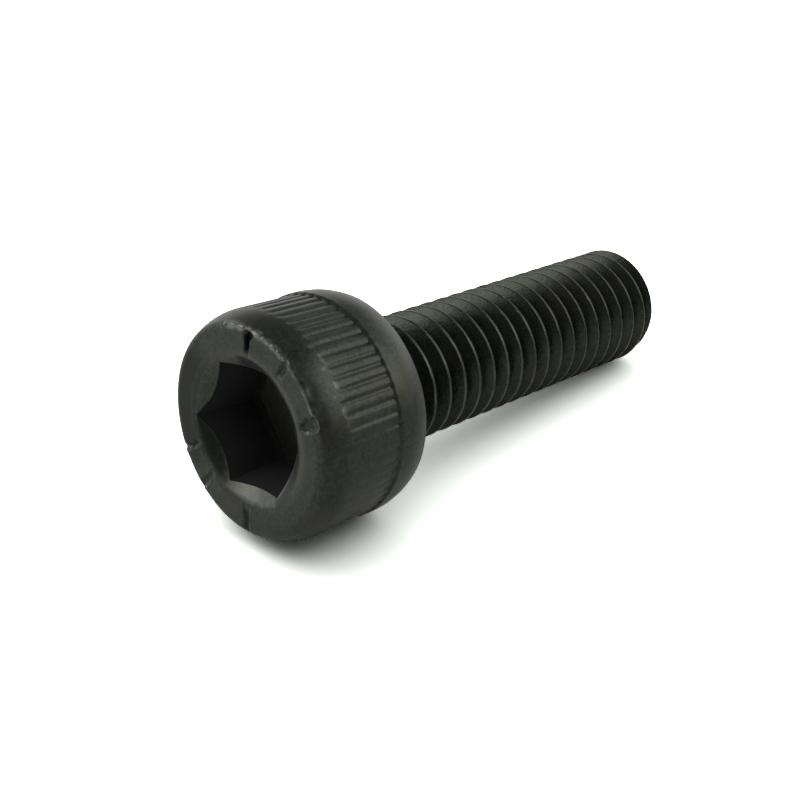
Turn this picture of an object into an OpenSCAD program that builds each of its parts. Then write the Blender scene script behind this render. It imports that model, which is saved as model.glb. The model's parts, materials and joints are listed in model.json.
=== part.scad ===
// Hex socket head cap screw with a knurled head and a rolled thread, in millimetres.
// It lies as it comes to rest: head and tip on the ground at Z = 0, +X from head to tip, +Z up.

/* [Head] */
// Diameter over the knurled ridges
head_d = 10.1; // [9.4:0.1:14]
// Height of the head, from its face to its bearing face
head_h = 5.9; // [5.6:0.1:9]
// Width of the rounded shoulder around the face, measured across the screw
shoulder_w = 0.4; // [0.2:0.05:0.6]
// Length of that shoulder along the screw
shoulder_l = 1.4; // [0.6:0.1:1.8]
// Width of the rounded band at the bearing face, measured across the screw
band_w = 0.35; // [0.2:0.05:0.5]
// Length of that band's rounding along the screw
band_l = 1.45; // [1:0.05:1.6]

/* [Knurl] */
// Number of grooves around the head
knurl_count = 60; // [40:1:70]
// Depth of a groove
knurl_depth = 0.16; // [0.08:0.01:0.2]
// Angle between the two walls of a groove
knurl_angle = 90; // [60:5:100]
// Distance from the face to the front ends of the grooves
knurl_start = 1; // [0.5:0.1:1.2]
// Length of the grooves
knurl_l = 3; // [1.5:0.1:3.1]

/* [Socket] */
// Width of the hexagon across its flats
socket_af = 5.1; // [3:0.1:5.6]
// Depth of the hexagon, from the face of the head
socket_depth = 3.4; // [2:0.1:4]
// Diameter of the countersink where it meets the face
countersink_d = 6.7; // [6.2:0.1:7.5]
// Angle across the countersink
countersink_angle = 120; // [90:5:140]
// Turn of the hexagon about the screw
socket_turn = 21; // [0:1:60]

/* [Thread] */
// Diameter over the thread crests
thread_d = 5.9; // [4.5:0.1:7]
// Distance from one crest to the next
pitch = 1; // [0.75:0.05:1.25]
// Angle between the two flanks of the thread
flank_angle = 60; // [55:1:65]
// Length from the bearing face to the tip
shank_l = 20; // [10:0.5:40]
// Length of the plain neck between the bearing face and the thread
neck_l = 1; // [0.5:0.1:3]
// Length over which the thread rises out of the neck
runout_l = 1; // [0.5:0.1:2]
// Radius of the fillet between the neck and the bearing face, which ends outside the thread
fillet_r = 0.4; // [0.35:0.05:0.6]
// Length of the chamfer at the tip
tip_l = 0.8; // [0.4:0.1:1.5]
// How far the chamfer reaches below the thread roots
tip_drop = 0.1; // [0.05:0.05:0.5]
// Place of the crests along the underside, as a share of the pitch
thread_phase = 0.75; // [0:0.01:0.99]

/* [Hidden] */

$fn = 96;
// Cutting shapes reach this far past the surface that they cut
overcut = 0.5;
// Facets in one turn of the thread
turn_steps = 24;

head_r = head_d / 2;
thread_r = thread_d / 2;

// Thread form: flat crests and roots joined by straight flanks
crest_w = pitch / 8;
root_w = pitch / 6;
flank_w = (pitch - crest_w - root_w) / 2;
thread_h = flank_w / tan(flank_angle / 2);
root_r = thread_r - thread_h;
tip_r = root_r - tip_drop;
// Rolling pushes the metal of the plain neck both ways, into the crests and out of the roots
neck_r = thread_r - thread_h / 2;

// Radius of an arc that leaves the head's side square to the axis and drops by w over the length l
function arc_r(w, l) = (w * w + l * l) / (2 * w);

// Resting pose: the ground touches the arc of the band and the last whole crest under the shank
band_arc_r = arc_r(band_w, band_l);
whole_turns = floor((shank_l - tip_l - crest_w / 2) / pitch - thread_phase);
last_crest = (whole_turns + thread_phase) * pitch + crest_w / 2;
reach = last_crest + band_l;
rise = thread_r - head_r + band_arc_r;
tilt = asin(band_arc_r / norm([reach, rise])) - atan2(rise, reach);
axis_z = last_crest * sin(tilt) + thread_r * cos(tilt);
// The ends along X: the lowest corner of the face and the highest corner of the tip
face_x = -head_h * cos(tilt) - (head_r - shoulder_w) * sin(tilt);
tip_x = shank_l * cos(tilt) + tip_r * sin(tilt);

// The thread is a strip one pitch wide, wound round the screw from inside the head to past the tip.
// Each edge of the strip has its place within the pitch and its height, 0 at the root and 1 at the crest.
strip_edges = [[0, 0], [root_w, 0], [root_w + flank_w, 1], [root_w + flank_w + crest_w, 1]];
strip_start = pitch * (thread_phase - 2) - root_w - flank_w - crest_w / 2;
strip_steps = turn_steps * (ceil((shank_l - strip_start) / pitch) + 1);

function clamp01(x) = min(max(x, 0), 1);
function surface_r(z, height) =
    let (thread = clamp01((z - neck_l) / runout_l))
    neck_r + thread * (root_r + height * thread_h - neck_r);
function strip_point(step, edge) =
    let (turn = 360 * step / turn_steps,
         z = strip_start + pitch * step / turn_steps + edge[0],
         r = surface_r(z, edge[1]))
    [r * cos(turn), r * sin(turn), z];
// Number of a point of the strip; the edge after the last is the first edge of the next turn
function point_no(step, edge) = edge < 4 ? 4 * step + edge : 4 * (step + turn_steps);
function ring_of_faces(centre, loop) =
    [for (i = [0:len(loop) - 1]) [centre, loop[i], loop[(i + 1) % len(loop)]]];

module thread_strip() {
    last = strip_steps;
    points = [for (step = [0:last]) for (edge = strip_edges) strip_point(step, edge)];
    start_centre = [0, 0, strip_start + pitch / 2];
    end_centre = [0, 0, strip_start + pitch * (last / turn_steps + 1 / 2)];
    sides = [
        for (step = [0:last - 1]) for (edge = [0:3])
            if (edge < 3 || step + turn_steps < last)
                let (a = point_no(step, edge), b = point_no(step + 1, edge),
                     c = point_no(step + 1, edge + 1), d = point_no(step, edge + 1))
                each [[a, d, c], [a, c, b]]
    ];
    start_loop = [
        for (step = [0:turn_steps]) point_no(step, 0),
        for (edge = [3:-1:1]) point_no(0, edge)
    ];
    end_loop = [
        for (step = [last:-1:last - turn_steps]) point_no(step, 3),
        for (edge = [0:2]) point_no(last, edge)
    ];
    polyhedron(
        points = concat(points, [start_centre, end_centre]),
        faces = concat(sides, ring_of_faces(len(points), start_loop), ring_of_faces(len(points) + 1, end_loop))
    );
}

// Everything that the shank may fill: it starts inside the head and ends in the chamfered tip
module shank_envelope() {
    outer_r = thread_r + overcut;
    chamfer_z = shank_l - tip_l * (outer_r - tip_r) / (thread_r - tip_r);
    rotate_extrude()
        polygon([[0, -overcut], [outer_r, -overcut], [outer_r, chamfer_z], [tip_r, shank_l], [0, shank_l]]);
}

// Ring in the corner between the neck and the bearing face, which runs out inside the neck
module neck_fillet() {
    corner_r = neck_r + fillet_r;
    arc = [for (a = [0:22.5:67.5]) [corner_r - fillet_r * sin(a), fillet_r * (1 - cos(a))]];
    rotate_extrude()
        polygon(concat([[0, -overcut], [corner_r, -overcut]], arc, [[0, corner_r]]));
}

module shank() {
    intersection() {
        thread_strip();
        shank_envelope();
    }
    neck_fillet();
}

// Half section of one end of the head, with its arc's foot on the X axis
module rounded_end(w, l) {
    square([head_r - w, l]);
    intersection() {
        translate([head_r - arc_r(w, l), l]) circle(r = arc_r(w, l));
        square([head_r, l]);
    }
}

module head_blank() {
    rotate_extrude() {
        translate([0, -head_h]) rounded_end(shoulder_w, shoulder_l);
        translate([0, shoulder_l - head_h]) square([head_r, head_h - shoulder_l - band_l]);
        mirror([0, 1]) rounded_end(band_w, band_l);
    }
}

module knurl_grooves() {
    outer_w = (knurl_depth + overcut) * tan(knurl_angle / 2);
    outer_r = head_r + overcut;
    for (i = [0:knurl_count - 1])
        rotate([0, 0, 360 * i / knurl_count])
            translate([0, 0, knurl_start - head_h])
                linear_extrude(knurl_l)
                    polygon([[head_r - knurl_depth, 0], [outer_r, outer_w], [outer_r, -outer_w]]);
}

module socket() {
    slope = tan(countersink_angle / 2);
    mouth_r = countersink_d / 2 + overcut * slope;
    translate([0, 0, -head_h - overcut]) {
        rotate([0, 0, socket_turn])
            cylinder(d = socket_af / cos(30), h = socket_depth + overcut, $fn = 6);
        cylinder(r1 = mouth_r, r2 = 0, h = mouth_r / slope);
    }
}

module head() {
    difference() {
        head_blank();
        knurl_grooves();
        socket();
    }
}

// Built along +Z with the bearing face at Z = 0, then laid down
module screw() {
    color([0.22, 0.23, 0.21])
        translate([-(face_x + tip_x) / 2, 0, axis_z])
            rotate([0, 90 + tilt, 0]) {
                head();
                shank();
            }
}

screw();
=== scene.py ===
"""Black hex socket head cap screw with a knurled head and a rolled thread, built round its packed model."""

import json
import math

import bmesh
import bpy
from bpy.props import FloatProperty, FloatVectorProperty, IntProperty, PointerProperty
from mathutils import Matrix, Quaternion, Vector, noise


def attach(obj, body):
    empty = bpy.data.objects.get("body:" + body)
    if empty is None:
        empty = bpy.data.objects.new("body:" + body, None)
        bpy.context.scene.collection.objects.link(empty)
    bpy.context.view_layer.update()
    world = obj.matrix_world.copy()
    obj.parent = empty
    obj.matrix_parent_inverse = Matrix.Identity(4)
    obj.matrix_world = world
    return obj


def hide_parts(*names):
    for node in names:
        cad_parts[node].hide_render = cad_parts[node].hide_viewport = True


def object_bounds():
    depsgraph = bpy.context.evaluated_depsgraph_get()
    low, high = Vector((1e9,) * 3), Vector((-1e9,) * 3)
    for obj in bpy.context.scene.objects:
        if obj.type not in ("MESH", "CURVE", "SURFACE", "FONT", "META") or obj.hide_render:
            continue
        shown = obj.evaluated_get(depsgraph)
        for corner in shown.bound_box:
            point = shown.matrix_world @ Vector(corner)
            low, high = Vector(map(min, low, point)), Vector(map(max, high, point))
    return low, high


bl_info = {
    "name": "Cap Screw",
    "version": (1, 0, 0),
    "blender": (4, 5, 0),
    "location": "3D View > Sidebar > Cap Screw",
    "description": "Builds a black hex socket head cap screw with a knurled head and a rolled thread",
    "category": "Mesh",
}

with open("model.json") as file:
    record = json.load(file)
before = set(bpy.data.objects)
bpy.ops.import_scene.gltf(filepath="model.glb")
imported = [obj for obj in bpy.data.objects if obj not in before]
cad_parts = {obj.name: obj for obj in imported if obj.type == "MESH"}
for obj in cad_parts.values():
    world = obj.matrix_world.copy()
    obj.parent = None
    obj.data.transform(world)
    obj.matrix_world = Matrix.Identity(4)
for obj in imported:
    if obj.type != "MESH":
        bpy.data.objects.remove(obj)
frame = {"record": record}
CAD_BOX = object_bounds()

MM = 0.001
WELD = 1e-7
MOUNTS = {mount["name"]: mount for mount in frame["record"]["mounts"]}
AXIS = Vector(MOUNTS["thread"]["axis"]).normalized()
FACE_CENTRE = Vector(MOUNTS["hex_socket"]["pos_m"])
BEARING_POINT = Vector(MOUNTS["bearing_face"]["pos_m"])
HEAD_HEIGHT = (BEARING_POINT - FACE_CENTRE).dot(AXIS)
SOCKET_DIMS = MOUNTS["hex_socket"]["dims"]
THREAD_DIMS = MOUNTS["thread"]["dims"]


def length(name, millimetres, description):
    """A size, given in millimetres and kept in metres."""
    return FloatProperty(
        name=name, description=description, default=millimetres * MM, unit="LENGTH", precision=5
    )


def angle(name, degrees, description):
    """An angle, given in degrees and kept in radians."""
    return FloatProperty(name=name, description=description, default=math.radians(degrees), subtype="ANGLE")


def share(name, default, description):
    """A plain number."""
    return FloatProperty(name=name, description=description, default=default)


def count(name, default, description):
    """A whole number of things."""
    return IntProperty(name=name, description=description, default=default, min=1)


def colour(name, default, description):
    """A colour, in linear light."""
    return FloatVectorProperty(
        name=name, description=description, default=default, subtype="COLOR", size=3, max=4
    )


class HeadSizes(bpy.types.PropertyGroup):
    """Sizes of the head's outside."""

    diameter: length("Diameter", (CAD_BOX[1].y - CAD_BOX[0].y) / MM, "Diameter over the knurled ridges")
    height: length("Height", HEAD_HEIGHT / MM, "From the face to the bearing face")
    shoulder_width: length("Shoulder width", 0.4, "Rounding of the front shoulder, across the screw")
    shoulder_length: length("Shoulder length", 1.4, "Rounding of the front shoulder, along the screw")
    band_width: length("Band width", 0.35, "Rounding of the smooth rear band, across the screw")
    band_length: length("Band length", 1.45, "Rounding of the smooth rear band, along the screw")
    edge_round: length("Edge rounding", 0.14, "Worn rounding of the face's outer edge")
    rim_round: length("Rim rounding", 0.08, "Worn rounding of the bearing face's edge")
    columns: count("Columns", 600, "Mesh columns round the head")


class KnurlSizes(bpy.types.PropertyGroup):
    """Sizes of the rolled grooves round the head."""

    number: count("Grooves", 60, "Number of grooves round the head")
    depth: length("Depth", 0.062, "Depth of a groove below the ridges")
    width: length("Width", 0.34, "Width of a groove between the ridges' tops")
    floor_width: length("Floor width", 0.03, "Width of a groove's floor")
    start: length("Start", 1.0, "From the face to the grooves' front ends")
    front: length("Front", 0.5, "Length over which a groove deepens at its front end")
    span: length("Length", 3.0, "Length of the grooves")
    phase: angle("Phase", 4.76, "Place of the first groove round the head")
    land_drop: length("Land drop", 0.08, "How far the ridges lie below the smooth band, at their rear ends")
    step_width: length("Step width", 0.12, "Width of the step from the ridges up to the band")


class SocketSizes(bpy.types.PropertyGroup):
    """Sizes of the hexagon and its countersink."""

    across_flats: length("Across flats", 2 * SOCKET_DIMS["r_mm"], "Width of the hexagon across its flats")
    depth: length("Depth", SOCKET_DIMS["length_mm"], "From the face to the socket's floor")
    mouth: length("Mouth", 6.7, "Diameter of the countersink where it meets the face")
    cone: angle("Cone", 114, "Angle across the countersink")
    turn: angle("Turn", 21.26, "Place of a corner round the screw")
    shift_down: length("Shift down", -0.05, "How far the hexagon sits below the axis")
    shift_side: length("Shift sideways", 0.07, "How far the hexagon sits to the side of the axis")
    flare: share("Flare", 0.04, "How much wider the worn mouth of the hexagon is, as a share")
    pull: share("Pull", 0.06, "How much further its most worn corner is flared, as a share")
    floor_round: length("Floor rounding", 0.05, "Rounding where the hexagon meets its floor")
    edge_round: length("Edge rounding", 0.035, "Rounding where the hexagon meets the countersink")
    mouth_round: length("Mouth rounding", 0.3, "Rounding where the countersink meets the face")


class ThreadSizes(bpy.types.PropertyGroup):
    """Sizes of the shank and its thread."""

    diameter: length("Diameter", 2 * THREAD_DIMS["r_mm"], "Diameter over the crests")
    pitch: length("Pitch", 1.0, "From one crest to the next")
    flank: angle("Flank angle", 60, "Angle between the two flanks")
    length: length("Length", 20.0, "From the bearing face to the tip")
    neck: length("Neck", 1.0, "Plain length under the head")
    runout: length("Run-out", 1.0, "Length over which the thread rises out of the neck")
    fillet: length("Fillet", 0.4, "Radius between the neck and the bearing face")
    tip_length: length("Tip length", 0.8, "Length of the chamfer at the tip")
    tip_drop: length("Tip drop", 0.1, "How far the chamfer reaches below the roots")
    phase: share("Phase", 0.75, "Place of the crests along the underside, as a share of the pitch")
    crest_round: length("Crest rounding", 0.03, "Rounding of a crest's two edges")
    root_round: length("Root rounding", 0.06, "Rounding of a root's two edges")
    steps: count("Steps", 96, "Mesh steps in one turn")


class WearSizes(bpy.types.PropertyGroup):
    """Sizes of the dents and the worn edges."""

    nick_width: length("Nick width", 0.36, "Width of a nick in the face")
    nick_depth: length("Nick depth", 0.1, "Depth of a nick in the face")
    nick_rim: length("Nick rim", 0.025, "Height of the metal pushed up beside a nick")
    burr: length("Burr", 0.07, "Height of the burr on the face's edge")
    edge_drop: length("Edge drop", 0.08, "How far the face's edge is worn away at its smoothest side")
    crest_dent: length("Crest dent", 0.035, "Depth of the dents in the thread's crests")
    ripple: length("Ripple", 0.004, "Unevenness of the head's forged skin")


class FinishColours(bpy.types.PropertyGroup):
    """Colours of the black oxide, of the steel where it is rubbed off or where a highlight is painted, and
    of painted shade and other darkening.
    """

    dark: colour("Dark oxide", (0.0295, 0.034, 0.026), "The oxide's dark patches")
    light: colour("Light oxide", (0.051, 0.058, 0.0445), "The oxide's light patches")
    brown: colour("Brown oxide", (0.050, 0.048, 0.036), "The oxide's brown patches")
    # Rubbed steel is also the colour of the painted highlights on the countersink, the shoulder, the burr
    # and the crests
    steel: colour("Rubbed steel", (0.145, 0.15, 0.13), "Edges where the oxide is rubbed off")
    # Near-black: painted shade in the socket, on countersink scallops, beside the burr and along the top
    # crests, and the darkening in the nicks and on one side of the face
    shade_and_darkening: colour("Grime", (0.006, 0.007, 0.009), "Dirt in the deep dents")


class StageSettings(bpy.types.PropertyGroup):
    """Camera, light and floor."""

    azimuth: angle("Azimuth", -45.606, "Camera's direction round the screw; 0 looks along +Y")
    elevation: angle("Elevation", 29.502, "Camera's height above the horizon")
    distance: length("Distance", 58.612, "From the camera to the point that it looks at")
    aim_right: length("Aim right", 2.25, "How far right of the bearing face's middle the camera looks")
    aim_up: length("Aim up", -0.172, "How far above the bearing face's middle the camera looks")
    lens: share("Lens", 59.7, "Focal length of the lens, in millimetres")
    floor: colour("Floor", (0.9, 0.9, 0.9), "Colour of the floor")
    floor_seen: colour("Floor seen", (2.5, 2.64, 2.48), "Colour of the floor in the picture, past white")
    floor_mirrored: colour("Floor mirrored", (1.1, 1.1, 1.1), "Colour of the floor in reflections")
    floor_shaded: colour("Floor shaded", (0.72, 0.74, 0.72), "Colour of the floor in front, in reflections")
    floor_front: length("Floor front", 90, "How far the floor reaches in front of the screw")
    room: share("Room", 0.3, "Brightness of the dim room in the screw's reflections")


class Field:
    """A socket of a node tree. Arithmetic on fields adds Math nodes, and node() adds any other node."""

    def __init__(self, tree, socket=None):
        self.tree = tree
        self.socket = socket

    def node(self, kind, settings=None, inputs=None, output=0):
        """Adds a node: its settings first, then the values or links of its sockets."""
        made = self.tree.nodes.new(kind)
        for name, value in (settings or {}).items():
            setattr(made, name, value)
        for name, value in (inputs or {}).items():
            if isinstance(value, Field):
                self.tree.links.new(value.socket, made.inputs[name])
            else:
                made.inputs[name].default_value = value
        return Field(self.tree, made.outputs[output] if made.outputs else None)

    def math(self, operation, *values, clamp=False):
        """Adds a Math node on these values."""
        settings = {"operation": operation, "use_clamp": clamp}
        return self.node("ShaderNodeMath", settings, dict(enumerate(values)))

    def __add__(self, other):
        return self.math("ADD", self, other)

    def __radd__(self, other):
        return self.math("ADD", other, self)

    def __sub__(self, other):
        return self.math("SUBTRACT", self, other)

    def __rsub__(self, other):
        return self.math("SUBTRACT", other, self)

    def __mul__(self, other):
        return self.math("MULTIPLY", self, other)

    def __rmul__(self, other):
        return self.math("MULTIPLY", other, self)

    def between(self, low, high):
        """0 below low, 1 above high, smooth between them."""
        settings = {"interpolation_type": "SMOOTHSTEP"}
        return self.node("ShaderNodeMapRange", settings, {0: self, 1: low, 2: high})

    def mixed(self, first, second):
        """The first colour where this field is 0, and the second where it is 1."""
        settings = {"data_type": "RGBA"}
        return self.node("ShaderNodeMix", settings, {0: self, 6: first, 7: second}, output=2)


def rgba(values):
    """A colour with full alpha."""
    return (*values, 1.0)


def black_oxide(colours):
    """Black oxide on steel: satin, a little green, mottled, and rubbed to grey along the edges; the wear
    attribute also paints highlights in that grey and painted shade in near-black.
    """
    material = bpy.data.materials.new("black_oxide")
    material.use_nodes = True
    tree = material.node_tree
    tree.nodes.clear()
    base = Field(tree)
    place = base.node("ShaderNodeTexCoord", output=3)

    def grain(size, detail, rough=0.5):
        """Noise with grains of that size in millimetres."""
        scale = 1 / (size * MM)
        inputs = {"Vector": place, "Scale": scale, "Detail": detail, "Roughness": rough}
        return base.node("ShaderNodeTexNoise", inputs=inputs)

    fine = grain(0.06, 2.0)
    pits = grain(0.13, 1.0)
    mottle = grain(0.3, 4.0, 0.6)
    cloud = grain(2.2, 3.0)
    # Wear above 0 is rubbed steel, which is real edge wear in places and a painted highlight in others;
    # below 0 it is near-black, mostly painted shade
    wear = base.node("ShaderNodeAttribute", {"attribute_name": "wear"}, output=2)
    rolled = base.node("ShaderNodeAttribute", {"attribute_name": "rolled"}, output=2)
    dust = base.node("ShaderNodeAttribute", {"attribute_name": "dust"}, output=2)
    rubbed = (wear * (0.55 + 0.7 * mottle + 0.2 * fine)).between(0.2, 1.2)
    # Mask of painted shade, and of the darkening in the nicks and on one side of the face
    shade_and_darkening = wear.between(0.0, -1.0)

    patches = (0.3 * mottle + 0.2 * cloud + 0.25 * fine + 0.25 * pits).between(0.4, 0.6)
    oxide = patches.mixed(rgba(colours.dark), rgba(colours.light))
    oxide = (0.7 * grain(1.6, 2.0).between(0.5, 0.7)).mixed(oxide, rgba(colours.brown))
    tint = rubbed.mixed(oxide, rgba(colours.steel))
    tint = (shade_and_darkening + 0.04 * rolled * (1 - shade_and_darkening)).mixed(tint, rgba(colours.shade_and_darkening))
    roughness = 0.18 + 0.12 * cloud + 0.14 * mottle + 0.1 * fine + 0.2 * shade_and_darkening
    roughness = roughness + 0.3 * dust - 0.07 * rolled
    height = (0.5 + 0.7 * rolled) * fine + mottle + (0.3 + 1.3 * rolled) * pits
    bump = base.node("ShaderNodeBump", inputs={"Strength": 0.4, "Distance": 0.012 * MM, "Height": height})
    shader = base.node(
        "ShaderNodeBsdfPrincipled",
        inputs={"Base Color": tint, "Metallic": 0.9 - 0.75 * dust, "Roughness": roughness, "Normal": bump},
    )
    base.node("ShaderNodeOutputMaterial", inputs={"Surface": shader})
    return material


class Outline:
    """An open line of radius against place along the axis, drawn in the XZ plane and then spun."""

    def __init__(self, bm, radius, along, wear=0.0):
        self.bm = bm
        self.layer = bm.verts.layers.float["wear"]
        self.verts = []
        self.edges = []
        self.corners = []
        self.rounding = 0.0
        self.add(radius, along, wear)

    def add(self, radius, along, wear=0.0):
        """Adds a point, joined to the last one."""
        vert = self.bm.verts.new((radius, 0, along))
        vert[self.layer] = wear
        if self.verts:
            self.edges.append(self.bm.edges.new((self.verts[-1], vert)))
        self.verts.append(vert)

    def shares(self, span, steps, rounding):
        """Shares of a stretch where it gets points, clear of the roundings at its two ends."""
        first = 1.2 * self.rounding / span
        last = 1 - 1.2 * rounding / span
        made = [first + (last - first) * step / steps for step in range(steps + 1)]
        if not self.rounding:
            del made[0]
        if rounding:
            made.append(1.0)
        self.rounding = rounding
        return made

    def line(self, radius, along, steps=1, wear=0.0, rounding=0.0):
        """A straight stretch; its end may be worn, and is rounded if a rounding is given."""
        start = self.verts[-1].co.copy()
        end = Vector((radius, 0, along))
        for part in self.shares((end - start).length, steps, rounding):
            point = start.lerp(end, part)
            self.add(point.x, point.z, wear if part == 1 else 0.0)
        if rounding:
            self.corners.append((self.verts[-1], rounding))

    def arc(self, radius, along, centre_radius, centre_along, steps, rounding=0.0):
        """A round stretch about a centre."""
        centre = Vector((centre_radius, 0, centre_along))
        start = self.verts[-1].co - centre
        end = Vector((radius, 0, along)) - centre
        turn = start.rotation_difference(end)
        for part in self.shares(start.length * turn.angle, steps, rounding):
            point = centre + Quaternion().slerp(turn, part) @ start
            self.add(point.x, point.z)
        if rounding:
            self.corners.append((self.verts[-1], rounding))

    def round_corners(self, segments):
        """Rounds the corners that were given a rounding."""
        for vert, rounding in self.corners:
            bmesh.ops.bevel(
                self.bm, geom=[vert], offset=rounding, offset_type="OFFSET", segments=segments,
                profile=0.5, affect="VERTICES", material=-1,
            )


def arc_radius(width, span):
    """Radius of an arc that starts along the axis and drops by width over span."""
    return (width * width + span * span) / (2 * width)


def smooth(value):
    """0 below 0, 1 above 1, smooth between them."""
    value = min(max(value, 0.0), 1.0)
    return value * value * (3 - 2 * value)


def rise(value, start, width):
    """0 up to start, 1 from a width past it, smooth between them."""
    return smooth((value - start) / width)


def bell(value, width):
    """1 at 0, falling off on both sides over a width."""
    return math.exp(-((value / width) ** 2))


def uneven(place, scale, offset=(0, 0, 0)):
    """Noise from about -1 to 1, at a place in millimetres."""
    return noise.noise(place * scale + Vector(offset))


def polar(radius, turn, along):
    """The point at that radius, turn and place along the axis."""
    return Vector((radius * math.cos(turn), radius * math.sin(turn), along))


class Arc:
    """A stretch round the screw, in degrees, that fades away past its two ends; 0 is down and 180 is up."""

    def __init__(self, middle, half, fade, strength=1.0):
        self.middle = middle
        self.half = half
        self.fade = fade
        self.strength = strength

    def share(self, turn):
        """The strength within the stretch, 0 past its fading ends."""
        away = abs((math.degrees(turn) - self.middle + 180) % 360 - 180)
        return self.strength * (1 - rise(away, self.half, self.fade))


# Socket and countersink
PULLED_CORNER = Arc(81, 0, 20)
# The hexagon's lip is rubbed and also a painted highlight; a scallop and a line get painted highlights
RUBBED_AND_HIGHLIT_LIP = Arc(-25, 60, 20, 0.8)
PAINTED_HIGHLIGHT_SCALLOP = Arc(-7, 26, 12, 0.68)
PAINTED_HIGHLIGHT_LINE = Arc(-66, 22, 8, 1.1)
# Three scallops of the countersink darkened as painted shade
PAINTED_SHADE_LOW_SCALLOP = Arc(-70, 22, 10, 0.35)
PAINTED_SHADE_SIDE_SCALLOP = Arc(56, 22, 10, 0.58)
PAINTED_SHADE_TOP_SCALLOP = Arc(190, 18, 14)
# The one socket wall painted as lit; the other walls get painted shade
PAINTED_LIT_WALL = Arc(231, 26, 8, 1.3)
# Face, shoulder and side
# Darkens the face towards one side
DARKER_FACE_SIDE = Arc(88, 28, 32, 0.6)
# Where the burr stands; its rubbed grey is partly real wear, partly a painted highlight
BURRED_EDGE = Arc(200, 40, 14)
TALL_BURR = Arc(183, 15, 15, 0.5)
WORN_EDGE = Arc(305, 40, 35)
# Painted shade and a painted highlight on the shoulder
PAINTED_SHADE_SHOULDER = Arc(222, 24, 14, 0.38)
PAINTED_HIGHLIGHT_SHOULDER = Arc(228, 16, 14, 0.75)
FAINT_KNURL = Arc(286, 20, 22)
# Thread
# Crests along the top darkened as painted shade
PAINTED_SHADE_CRESTS = Arc(175, 26, 8)
LAPPED_CREST = Arc(236, 8, 3)


def reshape(verts, form):
    """Moves each vertex to where form puts its radius, turn and place along the axis."""
    for vert in verts:
        turn = math.atan2(vert.co.y, vert.co.x)
        vert.co = form(vert, math.hypot(vert.co.x, vert.co.y), turn, vert.co.z)


def cone_depth(socket, radius):
    """Depth of the countersink below the face at a radius."""
    return (socket.mouth / 2 - radius) / math.tan(socket.cone / 2)


def head_outline(bm, head, knurl, socket, thread):
    """Draws half the head's section, from the middle of the socket's floor to the neck."""
    face = -head.height
    floor = face + socket.depth
    flat = socket.across_flats / 2
    mouth = socket.mouth / 2
    side = head.diameter / 2
    shoulder = arc_radius(head.shoulder_width, head.shoulder_length)
    band = arc_radius(head.band_width, head.band_length)
    knurl_end = face + knurl.start + knurl.span

    line = Outline(bm, 0, floor)
    line.line(0.5 * flat, floor)
    line.line(flat, floor, steps=3, rounding=socket.floor_round)
    line.line(flat, face + cone_depth(socket, flat), steps=6, wear=0.8, rounding=socket.edge_round)
    line.line(mouth, face, steps=5, wear=0.2, rounding=socket.mouth_round)
    line.line(side - head.shoulder_width, face, steps=12, rounding=head.edge_round)
    line.arc(side, face + head.shoulder_length, side - shoulder, face + head.shoulder_length, steps=14)
    before_step = knurl_end - 0.3 * MM
    after_step = knurl_end + 0.2 * MM
    line.line(side, before_step, steps=5)
    line.line(side, after_step, steps=9)
    line.line(side, -head.band_length, steps=2)
    line.arc(side - head.band_width, 0, side - band, -head.band_length, steps=12, rounding=head.rim_round)
    neck = neck_radius(thread)
    line.line(neck + thread.fillet, 0, steps=3)
    line.arc(neck, thread.fillet, neck + thread.fillet, thread.fillet, steps=6)
    line.round_corners(segments=4)


def hexagon_radius(socket, turn):
    """Distance from the hexagon's middle to its wall, inside the socket."""
    sixth = math.radians(60)
    off_middle = (turn - socket.turn) % sixth - sixth / 2
    return socket.across_flats / 2 / math.cos(off_middle)


def broach(socket, head, radius, turn, along):
    """Presses the round socket into a hexagon, a little off the axis, with scallops in the countersink."""
    flat = socket.across_flats / 2
    mouth = socket.mouth / 2
    face = -head.height
    floor = face + socket.depth
    inner = hexagon_radius(socket, turn)
    flare = socket.flare + socket.pull * PULLED_CORNER.share(turn)
    hexagon = inner * (1 + flare)
    shift = Vector((socket.shift_down, socket.shift_side, 0))
    if radius > flat + WELD:
        out = (radius - flat) / (mouth - flat)
        wide = hexagon + out * (mouth - hexagon)
        along += cone_depth(socket, wide) - cone_depth(socket, radius)
        return polar(wide, turn, along) + (1 - out) * shift
    edge = cone_depth(socket, flat)
    deeper = cone_depth(socket, hexagon) - edge
    up_wall = (floor - along) / (socket.depth - edge)
    wall = inner * (1 + flare * smooth(2 * up_wall - 1))
    return polar(radius / flat * wall, turn, along + up_wall * deeper) + shift


def groove_share(knurl, head, turn, along):
    """How far a point lies in a groove of the knurl: 0 on the ridges, 1 on a groove's floor."""
    step = math.tau / knurl.number
    number = round((turn - knurl.phase) / step)
    across = abs(turn - knurl.phase - number * step) * head.diameter / 2
    stagger = 0.16 * MM * noise.noise((number * 1.7, 0.5, 0))
    runout = 0.15 * MM
    start = -head.height + knurl.start + stagger
    end = -head.height + knurl.start + knurl.span
    deepened = rise(along, start, knurl.front) * (1 - rise(along, end, runout))
    wall = (knurl.width - knurl.floor_width) / 2 * (0.6 + 0.4 * deepened)
    return deepened * (1 - rise(across, knurl.floor_width / 2, wall))


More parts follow.
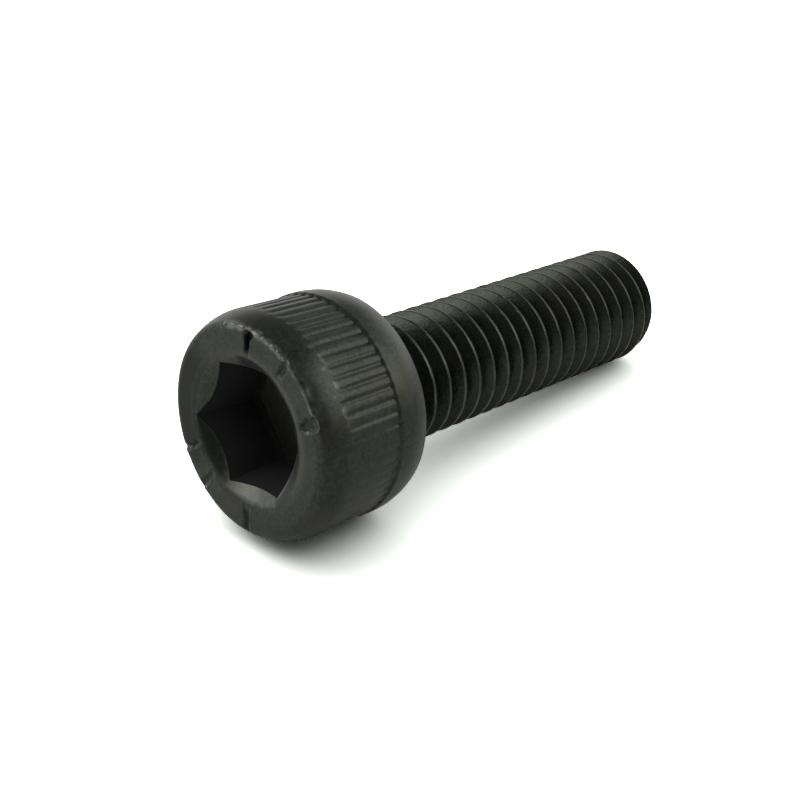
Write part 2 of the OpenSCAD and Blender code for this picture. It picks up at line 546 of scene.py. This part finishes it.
class Nick:
    """A radial dent in the face, with the metal that it pushed up at one side."""

    def __init__(self, place, inner, outer, width=1.0, depth=1.0, flare=0.0, rim=1.0, darkening=0.0):
        self.place = math.radians(place)
        self.inner = inner * MM
        self.outer = outer * MM
        self.width = width
        self.depth = depth
        self.flare = flare
        self.rim = rim
        self.darkening = darkening

    def press(self, wear, radius, turn):
        """Depth of the dent at a point of the face, and how rubbed or, below 0, how darkened it is there."""
        off = turn - self.place
        out = radius * math.cos(off)
        if out < 0:
            return 0.0, 0.0
        place = Vector((radius * math.cos(turn), radius * math.sin(turn), self.place * MM)) / MM
        sideways = radius * math.sin(off) + 0.09 * MM * uneven(place, 3.5)
        half = wear.nick_width / 2 * self.width * (1 + 0.5 * uneven(place, 2, (2, 9, 4)))
        half *= 1 + self.flare * rise(out - self.outer, -0.4 * MM, 0.3 * MM)
        out += 0.12 * MM * uneven(place, 4, (5, 1, 8))
        ends = rise(out, self.inner, 0.25 * MM) * smooth((self.outer - out) / (0.2 * MM))
        across = abs(sideways) / half
        dent = ends * (1 - rise(across, 0.3, 0.7))
        darkened_area = ends * (1 - rise(across, 0.6, 0.5))
        bank = ends * bell(sideways - math.copysign(half, self.rim), 0.08 * MM) * abs(self.rim)
        bank *= 0.7 + 0.9 * uneven(place, 3, (7, 3, 1))
        return self.depth * wear.nick_depth * dent - wear.nick_rim * bank, bank - self.darkening * darkened_area


NICKS = (
    Nick(178.5, 3.45, 4.55, width=1.15, depth=2.0, flare=0.8, rim=0.5, darkening=0.9),
    Nick(210, 3.6, 4.7, width=1.1, depth=1.2, rim=0.8, darkening=0.4),
    Nick(244.5, 3.5, 4.7, width=1.7, depth=1.3, rim=1.0, darkening=0.35),
    Nick(-3, 3.4, 4.7, width=1.5, depth=0.8, rim=-0.8, darkening=0.5),
    Nick(37.5, 3.45, 4.75, width=1.2, depth=1.0, rim=-1.2, darkening=0.3),
    Nick(60.6, 3.4, 4.8, width=0.9, depth=0.8, rim=-1.4, darkening=0.15),
)


def neck_radius(thread):
    """Radius of the plain neck, halfway up the thread."""
    return thread.diameter / 2 - thread_height(thread) / 2


def thread_height(thread):
    """Height of the thread from its flat roots to its flat crests."""
    flank_width = thread.pitch * (1 - 1 / 8 - 1 / 6) / 2
    return flank_width / math.tan(thread.flank / 2)


def spin(bm, geom, turn, steps, climb=0.0, repeat=False):
    """Spins a line about the screw's axis, or repeats a shape round it; each step climbs along the axis."""
    bmesh.ops.spin(
        bm, geom=geom, cent=(0, 0, 0), axis=(0, 0, 1), dvec=(0, 0, climb),
        angle=turn, steps=steps, use_duplicate=repeat,
    )


def added(bm, before):
    """The vertices, edges and faces that came after that set of vertices."""
    verts = [vert for vert in bm.verts if vert not in before]
    edges = dict.fromkeys(edge for vert in verts for edge in vert.link_edges)
    faces = dict.fromkeys(face for vert in verts for face in vert.link_faces)
    return verts, list(edges), list(faces)


class HeadForm:
    """Where the vertices of the spun head go, how worn they are there, and where highlights and shade are
    painted on them.
    """

    def __init__(self, bm, head, knurl, socket, wear):
        # The wear layer holds real wear, with painted highlights above 0 and painted shade below 0
        self.worn = bm.verts.layers.float["wear"]
        self.dusty = bm.verts.layers.float["dust"]
        self.head = head
        self.knurl = knurl
        self.socket = socket
        self.wear = wear
        self.face = -head.height
        self.side = head.diameter / 2
        self.edge = self.side - head.shoulder_width
        self.flat = socket.across_flats / 2
        self.mouth = socket.mouth / 2

    def place(self, vert, radius, turn, along):
        """The new place of a vertex; the bearing face and the fillet stay as they are."""
        if along > -WELD:
            return vert.co
        if radius < self.mouth - WELD:
            self.paint_socket_wear_and_light(vert, radius, turn, along)
            return broach(self.socket, self.head, radius, turn, along)
        around = polar(radius, turn, along) / MM
        reach = 0.5 * self.head.shoulder_length
        if along < self.face + reach:
            along = self.batter(vert, around, radius, turn, along, reach)
        if radius > self.edge:
            self.paint_shoulder_light(vert, around, turn, along)
            radius = self.roll(around, radius, turn, along)
        return polar(radius, turn, along)

    def paint_socket_wear_and_light(self, vert, radius, turn, along):
        """Paints highlights on the lip, partly real rubbing, on a scallop and along a line of the
        countersink; paints shade on other scallops and on the socket's walls, except the one wall painted as
        lit.
        """
        # The lip: partly real rubbing, partly a painted highlight
        lip = vert[self.worn] * (0.2 + RUBBED_AND_HIGHLIT_LIP.share(turn))
        sill = self.face + cone_depth(self.socket, self.flat) + self.socket.edge_round
        wall_end = self.face + self.socket.depth - 0.1 * MM
        if radius > self.flat + WELD:
            inward = (self.mouth - radius) / (self.mouth - self.flat)
            # Painted highlights on a scallop and along a line near the hexagon's edge
            lightening = PAINTED_HIGHLIGHT_SCALLOP.share(turn) * smooth(5 * inward)
            lightening += PAINTED_HIGHLIGHT_LINE.share(turn) * rise(inward, 0.72, 0.12)
            # Painted shade on three scallops of the countersink
            darkening = PAINTED_SHADE_SIDE_SCALLOP.share(turn) + PAINTED_SHADE_TOP_SCALLOP.share(turn) + PAINTED_SHADE_LOW_SCALLOP.share(turn)
            vert[self.worn] = max(lightening - darkening * smooth(6 * inward), lip if inward > 0.9 else -1)
        elif along > sill:
            # Painted shade on the socket's walls, except the one wall painted as lit; the floor is left
            # plain
            vert[self.worn] = PAINTED_LIT_WALL.share(turn) - 0.7 if along < wall_end else 0.2
            vert[self.dusty] = 1
        else:
            vert[self.worn] = lip

    def batter(self, vert, around, radius, turn, along, reach):
        """Dents the face, darkens it towards one side, raises the burr on its edge, rubs the burr lighter,
        partly as a painted highlight, and wears the other side of the edge down.
        """
        worn = self.worn
        for nick in NICKS:
            dent, lightening = nick.press(self.wear, radius, turn)
            fade = 1 - smooth((along - self.face) / reach)
            along += dent * fade
            if abs(lightening * fade) > abs(vert[worn]):
                vert[worn] = lightening * fade
        # Darkens the face towards one side
        vert[worn] -= DARKER_FACE_SIDE.share(turn) * smooth((self.edge - radius) / (0.3 * MM))

        jag = 0.8 + 0.7 * uneven(around, 2.5) + 0.5 * uneven(around, 7)
        burr = BURRED_EDGE.share(turn) * min(max(jag, 0.2), 1.4) * (0.75 + TALL_BURR.share(turn))
        out = radius - self.edge
        back = along - self.face
        ridge = bell(out + 0.02 * MM, 0.13 * MM) * (1 - rise(back, 0.08 * MM, 0.12 * MM))
        drop = rise(out, -0.4 * MM, 0.4 * MM) * (1 - smooth(back / (0.5 * MM)))
        along += self.wear.edge_drop * drop * WORN_EDGE.share(turn) - self.wear.burr * burr * ridge
        # The burr rubbed lighter: partly real wear, partly a painted highlight
        lightening = burr * bell(out + 0.05 * MM, 0.2 * MM) * (1 - rise(along - self.face, 0.08 * MM, 0.12 * MM))
        if lightening > max(vert[worn], 0.05):
            vert[worn] = lightening
        return along

    def paint_shoulder_light(self, vert, around, turn, along):
        """Paints shade on the shoulder beside the burr, and a highlight on it where the knurl begins."""
        back = along - self.face
        beside_burr = rise(back, 0.1 * MM, 0.15 * MM) * (1 - rise(back, 0.4 * MM, 0.5 * MM))
        by_knurl = 1 - smooth(abs(back - 1.15 * MM) / (0.5 * MM))
        darkened_area = beside_burr * smooth(0.55 + 2 * uneven(around, 2.1))
        lightening = by_knurl * smooth(0.3 + 2 * uneven(around, 2.7))
        # Painted highlight near the knurl, painted shade beside the burr
        vert[self.worn] += PAINTED_HIGHLIGHT_SHOULDER.share(turn) * lightening - PAINTED_SHADE_SHOULDER.share(turn) * darkened_area

    def roll(self, around, radius, turn, along):
        """The radius with the knurl rolled in, and with the ripple of the forged skin."""
        knurl = self.knurl
        start = self.face + knurl.start
        end = start + knurl.span
        rear = rise(along - end, -0.6 * MM, 0.4 * MM)
        faint = 1 - (0.9 - 0.5 * rear) * FAINT_KNURL.share(turn)
        cut = groove_share(knurl, self.head, turn, along) * faint
        land = min(max((along - start) / knurl.span, 0), 1) * (1 - rise(along, end, knurl.step_width))
        depth = max(radius - (self.side - knurl.depth), 0)
        return radius - cut * depth - land * knurl.land_drop + self.wear.ripple * uneven(around, 1.5)


def make_head(bm, head, knurl, socket, thread, wear):
    """Spins the head, presses the hexagon, rolls the knurl and dents the face."""
    before = set(bm.verts)
    head_outline(bm, head, knurl, socket, thread)
    verts, edges, _ = added(bm, before)
    bmesh.ops.rotate(bm, verts=verts, cent=(0, 0, 0), matrix=Matrix.Rotation(socket.turn, 3, "Z"))
    sixth = math.tau / 6
    spin(bm, verts + edges, sixth, head.columns // 6)
    verts, edges, faces = added(bm, before)
    spin(bm, verts + edges + faces, 5 * sixth, 5, repeat=True)
    bmesh.ops.remove_doubles(bm, verts=added(bm, before)[0], dist=WELD)
    reshape(added(bm, before)[0], HeadForm(bm, head, knurl, socket, wear).place)


def make_thread(bm, thread, wear):
    """Winds the thread's section round the shank, then trims it to the neck and the tip."""
    # The wear layer also holds the crests' painted highlights and painted shade
    worn = bm.verts.layers.float["wear"]
    rolled = bm.verts.layers.float["rolled"]
    pitch = thread.pitch
    crest = thread.diameter / 2
    root = crest - thread_height(thread)
    neck = neck_radius(thread)
    tip = root - thread.tip_drop
    crest_width = pitch / 8
    root_width = pitch / 6
    flank_width = (pitch - crest_width - root_width) / 2
    start = (thread.phase - 2) * pitch - pitch / 2
    turns = math.ceil((thread.length - start) / pitch) + 1

    line = Outline(bm, root, start)
    place = start + root_width / 2
    line.line(root, place, rounding=thread.root_round)
    place += flank_width
    line.line(crest, place, steps=3, wear=1.0, rounding=thread.crest_round)
    place += crest_width
    line.line(crest, place, wear=0.2, rounding=thread.crest_round)
    place += flank_width
    line.line(root, place, steps=3, rounding=thread.root_round)
    line.line(root, start + pitch)
    line.round_corners(segments=2)

    spin(bm, bm.verts[:] + bm.edges[:], math.tau, thread.steps, climb=pitch / thread.steps)
    one_turn = bm.verts[:] + bm.edges[:] + bm.faces[:]
    spin(bm, one_turn, math.tau * (turns - 1), turns - 1, climb=pitch, repeat=True)
    bmesh.ops.remove_doubles(bm, verts=bm.verts[:], dist=WELD)

    def form(vert, radius, turn, along):
        """The new place of a vertex of the wound section, with its wear set, which also holds painted
        highlights and painted shade.
        """
        around = polar(crest, turn, along) / MM
        high = rise(radius - crest, -0.12 * MM, 0.1 * MM)
        dent = rise(uneven(around, 4.5), 0.5, 0.2)
        dark = PAINTED_SHADE_CRESTS.share(turn)
        lap = LAPPED_CREST.share(turn) * (1 - smooth(abs(along - 2.5 * MM) / (0.35 * MM)))
        towards_tip = rise(along / thread.length, 0.35, 0.45)
        # Crests rubbed lighter: partly real wear, partly a painted highlight along the crest lines, dimmer
        # towards the tip
        lightening = 0.66 + 0.45 * uneven(around, 1.3) - 0.55 * towards_tip + 0.4 * dent + 0.9 * lap
        # Along the top the crests get painted shade instead
        vert[worn] *= lightening * (1 - dark) - 0.35 * dark
        vert[rolled] = rise(along, 0.3 * thread.neck, thread.neck)
        radius -= wear.crest_dent * dent * high
        risen = rise(along, thread.neck, thread.runout)
        radius = neck + risen * (radius - neck)
        chamfer = tip + (thread.length - along) * (crest - tip) / thread.tip_length
        return polar(max(min(radius, chamfer), 0.5 * tip), turn, along)

    reshape(bm.verts, form)
    neck_cut = (thread.fillet + thread.neck) / 2
    for place, normal in ((neck_cut, (0, 0, -1)), (thread.length, (0, 0, 1))):
        bmesh.ops.bisect_plane(
            bm, geom=bm.verts[:] + bm.edges[:] + bm.faces[:], dist=WELD,
            plane_co=(0, 0, place), plane_no=normal, clear_outer=True,
        )


def join_and_cap(bm, thread):
    """Joins the shank to the head, and closes the tip with a slightly hollow end."""
    rims = [edge for edge in bm.edges if edge.is_boundary]
    at_neck = [edge for edge in rims if edge.verts[0].co.z < thread.neck]
    at_tip = [edge for edge in rims if edge.verts[0].co.z > thread.neck]
    bmesh.ops.bridge_loops(bm, edges=at_neck)
    made = bmesh.ops.edgeloop_fill(bm, edges=at_tip)
    rim_width = 0.12 * MM
    rim_step = 0.03 * MM
    ring_width = 0.9 * MM
    hollow = 0.06 * MM
    bmesh.ops.inset_region(bm, faces=made["faces"], thickness=rim_width, depth=rim_step)
    bmesh.ops.inset_region(bm, faces=made["faces"], thickness=ring_width)
    middle = bmesh.ops.poke(bm, faces=made["faces"])
    bmesh.ops.translate(bm, verts=middle["verts"], vec=(0, 0, -hollow))


class CAPSCREW_OT_add_screw(bpy.types.Operator):
    """Adds the screw, lying where the packed model lies"""

    bl_idname = "capscrew.add_screw"
    bl_label = "Add Screw"

    def execute(self, context):
        scene = context.scene
        head = scene.capscrew_head
        bm = bmesh.new()
        for name in ("wear", "rolled", "dust"):
            bm.verts.layers.float.new(name)
        make_thread(bm, scene.capscrew_thread, scene.capscrew_wear)
        make_head(
            bm, head, scene.capscrew_knurl, scene.capscrew_socket, scene.capscrew_thread, scene.capscrew_wear
        )
        join_and_cap(bm, scene.capscrew_thread)
        bmesh.ops.recalc_face_normals(bm, faces=bm.faces[:])
        lying = Matrix.Rotation(math.acos(AXIS.z), 4, "Y")
        bmesh.ops.transform(bm, verts=bm.verts[:], matrix=lying)
        bmesh.ops.translate(bm, verts=bm.verts[:], vec=FACE_CENTRE + AXIS * head.height)
        open_edges = sum(1 for edge in bm.edges if len(edge.link_faces) != 2)
        if open_edges:
            raise RuntimeError(f"the screw has {open_edges} open edges")
        mesh = bpy.data.meshes.new("cap_screw")
        bm.to_mesh(mesh)
        bm.free()
        crease = math.radians(38)
        mesh.shade_smooth()
        mesh.set_sharp_from_angle(angle=crease)
        mesh.materials.append(black_oxide(scene.capscrew_finish))
        screw = bpy.data.objects.new("cap_screw", mesh)
        scene.collection.objects.link(screw)
        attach(screw, "root")
        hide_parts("screw")
        return {"FINISHED"}


def ray_kind(base, name):
    """1 for rays of that kind, 0 for others."""
    return base.node("ShaderNodeLightPath", output=name)


def add_floor(stage):
    """A plain pale floor that keeps the shadow; it ends in front, where the dim room begins."""
    material = bpy.data.materials.new("pale_floor")
    material.use_nodes = True
    tree = material.node_tree
    tree.nodes.clear()
    base = Field(tree)
    place = base.node("ShaderNodeTexCoord", output=3)
    depth = base.node("ShaderNodeSeparateXYZ", inputs={0: place}, output=1)
    mirrored = depth.between(-14 * MM, 4 * MM).mixed(rgba(stage.floor_shaded), rgba(stage.floor_mirrored))
    paper = ray_kind(base, "Is Glossy Ray").mixed(rgba(stage.floor), mirrored)
    paper = ray_kind(base, "Is Camera Ray").mixed(paper, rgba(stage.floor_seen))
    lit = base.node("ShaderNodeBsdfDiffuse", inputs={"Color": paper})
    base.node("ShaderNodeOutputMaterial", inputs={"Surface": lit})

    half_width = 2.0
    bm = bmesh.new()
    bmesh.ops.create_grid(bm, x_segments=1, y_segments=1, size=half_width)
    bmesh.ops.translate(bm, verts=bm.verts[:], vec=(0, half_width - stage.floor_front, 0))
    mesh = bpy.data.meshes.new("floor")
    bm.to_mesh(mesh)
    bm.free()
    mesh.materials.append(material)
    floor = bpy.data.objects.new("floor", mesh)
    bpy.context.scene.collection.objects.link(floor)


# Each softbox has its place and width in metres, and its radiance
SOFTBOXES = {
    "back_softbox": ((-0.30, 0.31, 0.27), 0.28, 2.5),
    "front_softbox": ((0.21, -0.34, 0.33), 0.42, 1.7),
}


def add_softbox(name, place, size, radiance):
    """A square softbox that points at the screw and shows only in its gloss."""
    data = bpy.data.lights.new(name, "AREA")
    data.size = size
    data.energy = radiance * math.pi * size * size
    lamp = bpy.data.objects.new(name, data)
    lamp.location = place
    lamp.rotation_euler = (-Vector(place)).to_track_quat("-Z", "Y").to_euler()
    lamp.visible_diffuse = False
    bpy.context.scene.collection.objects.link(lamp)


def add_world(stage):
    """Soft light from above and behind; in the gloss, a white backdrop behind the screw in a dimmer room."""
    world = bpy.data.worlds.new("studio")
    world.use_nodes = True
    tree = world.node_tree
    tree.nodes.clear()
    base = Field(tree)
    way = base.node("ShaderNodeTexCoord", output=0)

    def towards(direction):
        """How far a ray points that way, from -1 to 1."""
        settings = {"operation": "DOT_PRODUCT"}
        return base.node("ShaderNodeVectorMath", settings, {0: way, 1: direction}, output=1)

    backdrop_turn = math.radians(17)
    backdrop = towards((math.sin(backdrop_turn), math.cos(backdrop_turn), 0)).between(-0.04, 0.06)
    low = 1 - towards((0, 0, 1)).between(0.3, 0.45)
    left = towards((-0.98, -0.2, 0)).between(0.4, 0.9)
    right = towards((0.93, -0.29, 0.25)).between(0.72, 0.95)
    mirrored = stage.room * (1 - 0.45 * left) + (1 - stage.room) * (backdrop * low) + 0.75 * right
    overhead = towards((0.1, 0.1, 0.99)).between(0.4, 0.85)
    behind = towards((0.25, 0.95, 0.2)).between(0.5, 0.95)
    sky = 0.03 + 1.2 * overhead + 0.7 * behind
    strength = sky + ray_kind(base, "Is Camera Ray") * (1 - sky)
    strength = strength + ray_kind(base, "Is Glossy Ray") * (mirrored - sky)
    glow = base.node("ShaderNodeBackground", inputs={"Color": (1, 1, 1, 1), "Strength": strength})
    base.node("ShaderNodeOutputWorld", inputs={"Surface": glow})
    bpy.context.scene.world = world


def add_camera(stage):
    """A camera at the photograph's viewing angle."""
    data = bpy.data.cameras.new("camera")
    data.lens = stage.lens
    data.sensor_width = 36
    data.clip_start = 1 * MM
    camera = bpy.data.objects.new("camera", data)
    low = math.cos(stage.elevation)
    back = Vector((
        math.sin(stage.azimuth) * low, -math.cos(stage.azimuth) * low, math.sin(stage.elevation)
    ))
    turn = (-back).to_track_quat("-Z", "Y")
    bearing = BEARING_POINT.copy()
    bearing.y = 0
    camera.location = bearing + turn @ Vector((stage.aim_right, stage.aim_up, stage.distance))
    camera.rotation_mode = "QUATERNION"
    camera.rotation_quaternion = turn
    bpy.context.scene.collection.objects.link(camera)
    bpy.context.scene.camera = camera


class CAPSCREW_OT_add_stage(bpy.types.Operator):
    """Adds the floor, the light and the camera"""

    bl_idname = "capscrew.add_stage"
    bl_label = "Add Stage"

    def execute(self, context):
        stage = context.scene.capscrew_stage
        add_floor(stage)
        add_world(stage)
        for name, (place, size, radiance) in SOFTBOXES.items():
            add_softbox(name, place, size, radiance)
        add_camera(stage)
        context.scene.view_settings.view_transform = "Standard"
        return {"FINISHED"}


class CAPSCREW_PT_sidebar(bpy.types.Panel):
    """Lists the sizes and the buttons of the screw"""

    bl_idname = "CAPSCREW_PT_sidebar"
    bl_label = "Cap Screw"
    bl_space_type = "VIEW_3D"
    bl_region_type = "UI"
    bl_category = "Cap Screw"

    def draw(self, context):
        for name, group in GROUPS.items():
            box = self.layout.box()
            box.label(text=group.__doc__)
            for key in group.__annotations__:
                box.prop(getattr(context.scene, name), key)
        for operator in OPERATORS:
            self.layout.operator(operator.bl_idname)


GROUPS = {
    "capscrew_head": HeadSizes,
    "capscrew_knurl": KnurlSizes,
    "capscrew_socket": SocketSizes,
    "capscrew_thread": ThreadSizes,
    "capscrew_wear": WearSizes,
    "capscrew_finish": FinishColours,
    "capscrew_stage": StageSettings,
}
OPERATORS = (CAPSCREW_OT_add_screw, CAPSCREW_OT_add_stage)


def register():
    for name, group in GROUPS.items():
        bpy.utils.register_class(group)
        setattr(bpy.types.Scene, name, PointerProperty(type=group))
    for kind in (*OPERATORS, CAPSCREW_PT_sidebar):
        bpy.utils.register_class(kind)


def unregister():
    for kind in (CAPSCREW_PT_sidebar, *OPERATORS):
        bpy.utils.unregister_class(kind)
    for name, group in GROUPS.items():
        delattr(bpy.types.Scene, name)
        bpy.utils.unregister_class(group)


def main():
    register()
    bpy.ops.capscrew.add_screw()
    bpy.ops.capscrew.add_stage()


if __name__ == "__main__":
    main()
